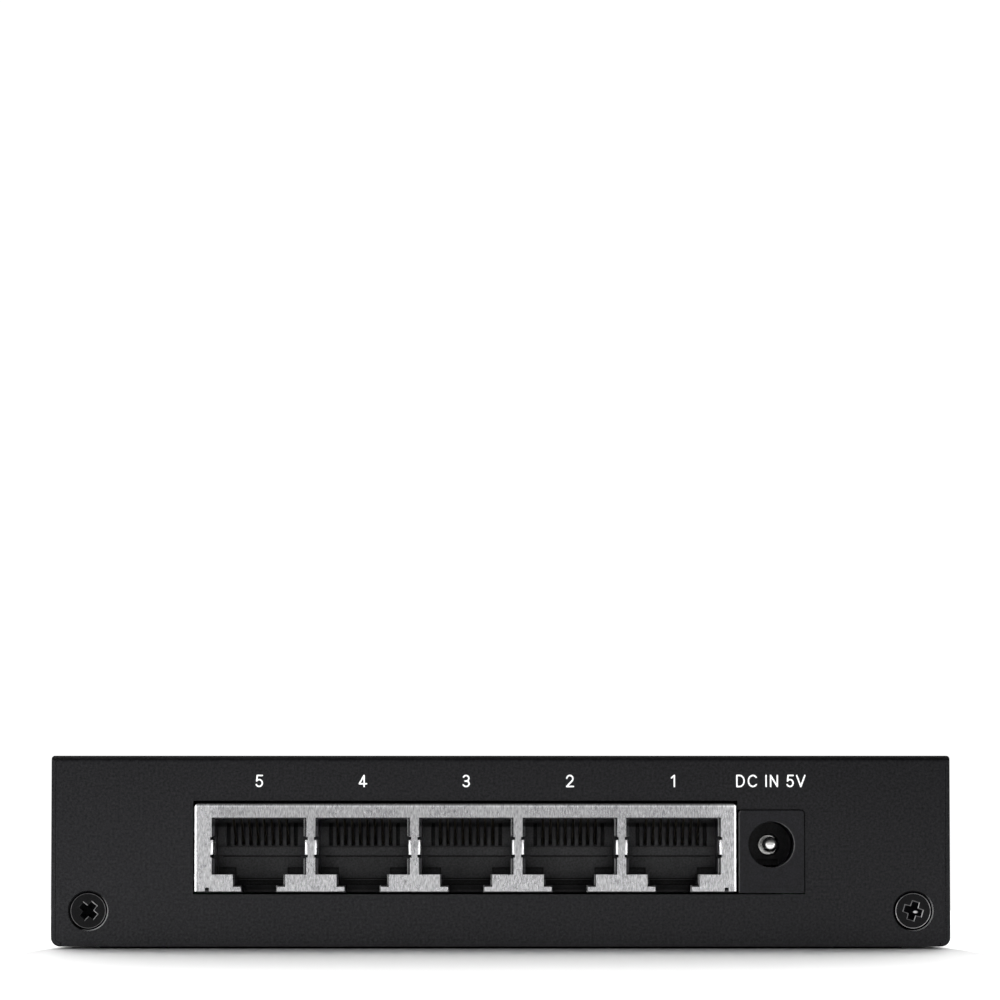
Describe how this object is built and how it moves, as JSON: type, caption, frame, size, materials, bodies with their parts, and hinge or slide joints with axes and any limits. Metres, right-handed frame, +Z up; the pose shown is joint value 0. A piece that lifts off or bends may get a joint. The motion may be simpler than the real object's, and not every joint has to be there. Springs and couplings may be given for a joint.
{
  "type": "desktop network switch",
  "caption": "Small black sheet-metal desktop network switch with a row of shielded RJ45 sockets and a barrel power socket on its rear panel.",
  "frame": {"origin": "centre of the footprint, on the plane the feet stand on", "axes": "+X to the right as seen from behind, -Y out of the sockets, +Z up"},
  "size_m": [0.1212, 0.079, 0.026],
  "materials": {
    "powder_coat": "fine-textured matte powder coat",
    "black_screw": "black oxide, satin",
    "zinc_screw": "bright zinc plate",
    "brass": "satin",
    "rubber": "matte",
    "gold_contact": "thin gold plate over phosphor bronze",
    "plated_contact": "bright nickel plate",
    "tinned_steel": "brushed bright tin over nickel",
    "jack_plastic": "moulded black, slightly glossy",
    "bezel_plastic": "moulded black, fine spark texture",
    "clear_plastic": "clear, slightly frosted",
    "lamp_lens": "milky clear lens",
    "board_green": "green solder mask",
    "can_aluminium": "bright drawn can",
    "ferrite": "dull grey-black ferrite",
    "chip_black": "moulded epoxy, matte"
  },
  "bodies": {
    "switch_case": {"base_tray": "powder_coat", "board_screw_1": "zinc_screw", "board_screw_2": "zinc_screw", "board_screw_3": "zinc_screw", "board_screw_4": "zinc_screw", "circuit_board": "board_green", "cover_screw_left": "black_screw", "cover_screw_right": "black_screw", "crystal": "can_aluminium", "dc_centre_pin": "plated_contact", "dc_jack_body": "jack_plastic", "flash_chip": "chip_black", "foot_front_left": "rubber", "foot_front_right": "rubber", "foot_rear_left": "rubber", "foot_rear_right": "rubber", "front_bezel": "bezel_plastic", "input_capacitor": "can_aluminium", "jack_housing": "jack_plastic", "jack_shield": "tinned_steel", "light_pipe": "clear_plastic", "magnetics_1": "chip_black", "magnetics_2": "chip_black", "magnetics_3": "chip_black", "magnetics_4": "chip_black", "magnetics_5": "chip_black", "port_lamp_1": "lamp_lens", "port_lamp_2": "lamp_lens", "port_lamp_3": "lamp_lens", "port_lamp_4": "lamp_lens", "port_lamp_5": "lamp_lens", "power_inductor": "ferrite", "power_lamp": "lamp_lens", "regulator": "chip_black", "standoff_1": "brass", "standoff_2": "brass", "standoff_3": "brass", "standoff_4": "brass", "switch_chip": "chip_black", "top_cover": "powder_coat"},
    "contact_set_1": {"contact_set_1": "gold_contact"},
    "contact_set_2": {"contact_set_2": "gold_contact"},
    "contact_set_3": {"contact_set_3": "gold_contact"},
    "contact_set_4": {"contact_set_4": "gold_contact"},
    "contact_set_5": {"contact_set_5": "gold_contact"},
    "dc_sleeve_spring": {"dc_sleeve_spring": "plated_contact"}
  },
  "joints": [
    {"name": "port_5_contacts_flex", "type": "hinge", "parent": "switch_case", "child": "contact_set_5", "pos_m": [-0.03257, -0.0363, 0.018], "axis": [1, 0, 0], "range_deg": [0, 9]},
    {"name": "port_4_contacts_flex", "type": "hinge", "parent": "switch_case", "child": "contact_set_4", "pos_m": [-0.0186, -0.0363, 0.018], "axis": [1, 0, 0], "range_deg": [0, 9]},
    {"name": "port_3_contacts_flex", "type": "hinge", "parent": "switch_case", "child": "contact_set_3", "pos_m": [-0.00463, -0.0363, 0.018], "axis": [1, 0, 0], "range_deg": [0, 9]},
    {"name": "port_2_contacts_flex", "type": "hinge", "parent": "switch_case", "child": "contact_set_2", "pos_m": [0.00934, -0.0363, 0.018], "axis": [1, 0, 0], "range_deg": [0, 9]},
    {"name": "port_1_contacts_flex", "type": "hinge", "parent": "switch_case", "child": "contact_set_1", "pos_m": [0.02331, -0.0363, 0.018], "axis": [1, 0, 0], "range_deg": [0, 9]},
    {"name": "dc_sleeve_spring_flex", "type": "hinge", "parent": "switch_case", "child": "dc_sleeve_spring", "pos_m": [0.0365, -0.0294, 0.01035], "axis": [1, 0, 0], "range_deg": [0, 4]}
  ]
}
